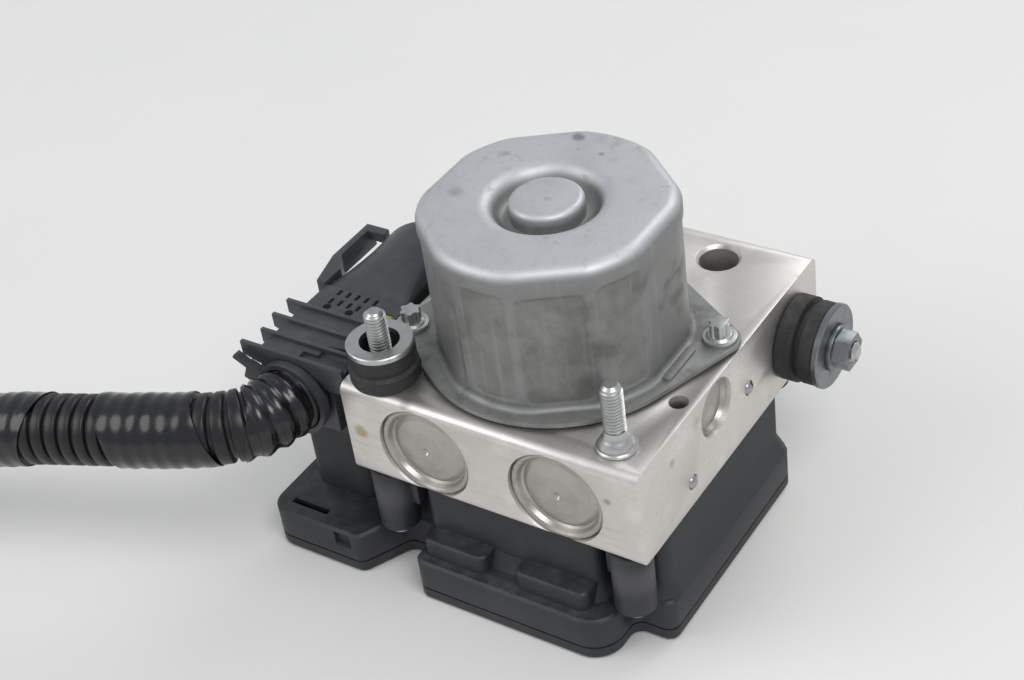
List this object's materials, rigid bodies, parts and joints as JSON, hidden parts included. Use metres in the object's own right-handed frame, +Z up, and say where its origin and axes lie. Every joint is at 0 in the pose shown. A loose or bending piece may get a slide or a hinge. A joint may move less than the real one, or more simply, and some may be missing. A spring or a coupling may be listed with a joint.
{
  "type": "abs brake module",
  "caption": "Anti-lock brake unit with motor, valve block, controller, plug and a stub of corrugated harness",
  "frame": {"origin": "On the flat underside of the controller cover, below the centre of the valve block", "axes": "+Z up along the motor shaft, +X to the right along the block's front face, +Y to the back"},
  "size_m": [0.3521, 0.1948, 0.115],
  "materials": {
    "block_metal": "machined, bright",
    "motor_steel": "galvanised, dull",
    "zinc_steel": "zinc plated",
    "cap_steel": "pressed, satin",
    "bearing_steel": "ground",
    "rubber_black": "moulded, matte",
    "ecu_plastic": "moulded, fine grain",
    "plug_plastic": "moulded, smooth",
    "conduit_plastic": "corrugated, taped",
    "olive_plastic": "moulded",
    "winding_copper": "enamelled wire",
    "contact_brass": "plated",
    "magnet_ferrite": "ground ferrite",
    "carbon": "carbon",
    "board_green": "lacquered"
  },
  "bodies": {
    "base": {"hydraulic_block": "block_metal", "motor_can": "motor_steel", "motor_gasket": "rubber_black", "motor_screws": "zinc_steel", "motor_magnets": "magnet_ferrite", "brush_plate": "plug_plastic", "motor_brushes": "carbon", "shaft_bearing": "bearing_steel", "bearing_bush": "contact_brass", "pump_plug_right": "cap_steel", "pump_plunger_right": "bearing_steel", "pump_spring_right": "zinc_steel", "pump_plug_left": "cap_steel", "pump_plunger_left": "bearing_steel", "pump_spring_left": "zinc_steel", "accumulator_cap_right": "cap_steel", "accumulator_spring_right": "zinc_steel", "accumulator_cap_left": "cap_steel", "accumulator_spring_left": "zinc_steel", "ball_plugs": "bearing_steel", "front_stud": "zinc_steel", "left_stud": "zinc_steel", "left_bushing": "rubber_black", "left_ring": "zinc_steel", "right_stud": "zinc_steel", "right_bushing": "rubber_black", "right_washer": "zinc_steel", "right_nut": "zinc_steel", "valve_cartridges": "zinc_steel", "solenoid_coils": "winding_copper", "ecu_housing": "ecu_plastic", "ecu_cover": "ecu_plastic", "cover_seal": "rubber_black", "ecu_screws": "zinc_steel", "circuit_board": "board_green", "connector_pins": "contact_brass", "plug_body": "plug_plastic", "plug_seal": "olive_plastic", "wire_cover": "plug_plastic", "terminal_lock": "olive_plastic", "conduit": "conduit_plastic", "wire_ends": "conduit_plastic", "zip_tie": "plug_plastic"},
    "rotor": {"rotor_shaft": "bearing_steel", "eccentric_bearing": "bearing_steel", "armature": "winding_copper", "commutator": "contact_brass"},
    "left_accumulator": {"accumulator_piston_left": "block_metal"},
    "right_accumulator": {"accumulator_piston_right": "block_metal"},
    "lever": {"lock_lever": "plug_plastic"}
  },
  "joints": [
    {"name": "rotor_spin", "type": "hinge", "parent": "base", "child": "rotor", "pos_m": [0, -0.0093, 0.08], "axis": [0, 0, 1], "continuous": true},
    {"name": "left_accumulator_slide", "type": "slide", "parent": "base", "child": "left_accumulator", "axis": [0, -1, 0], "range_m": [0, 0.005], "stiffness_N_per_m": 2000, "springref_m": -0.002, "deforming": ["accumulator_spring_left"]},
    {"name": "right_accumulator_slide", "type": "slide", "parent": "base", "child": "right_accumulator", "axis": [0, -1, 0], "range_m": [0, 0.005], "stiffness_N_per_m": 2000, "springref_m": -0.002, "deforming": ["accumulator_spring_right"]},
    {"name": "lever_swing", "type": "hinge", "parent": "base", "child": "lever", "pos_m": [-0.0788, -0.012, 0.0655], "axis": [1, 0, 0], "range_deg": [0, 60]}
  ]
}
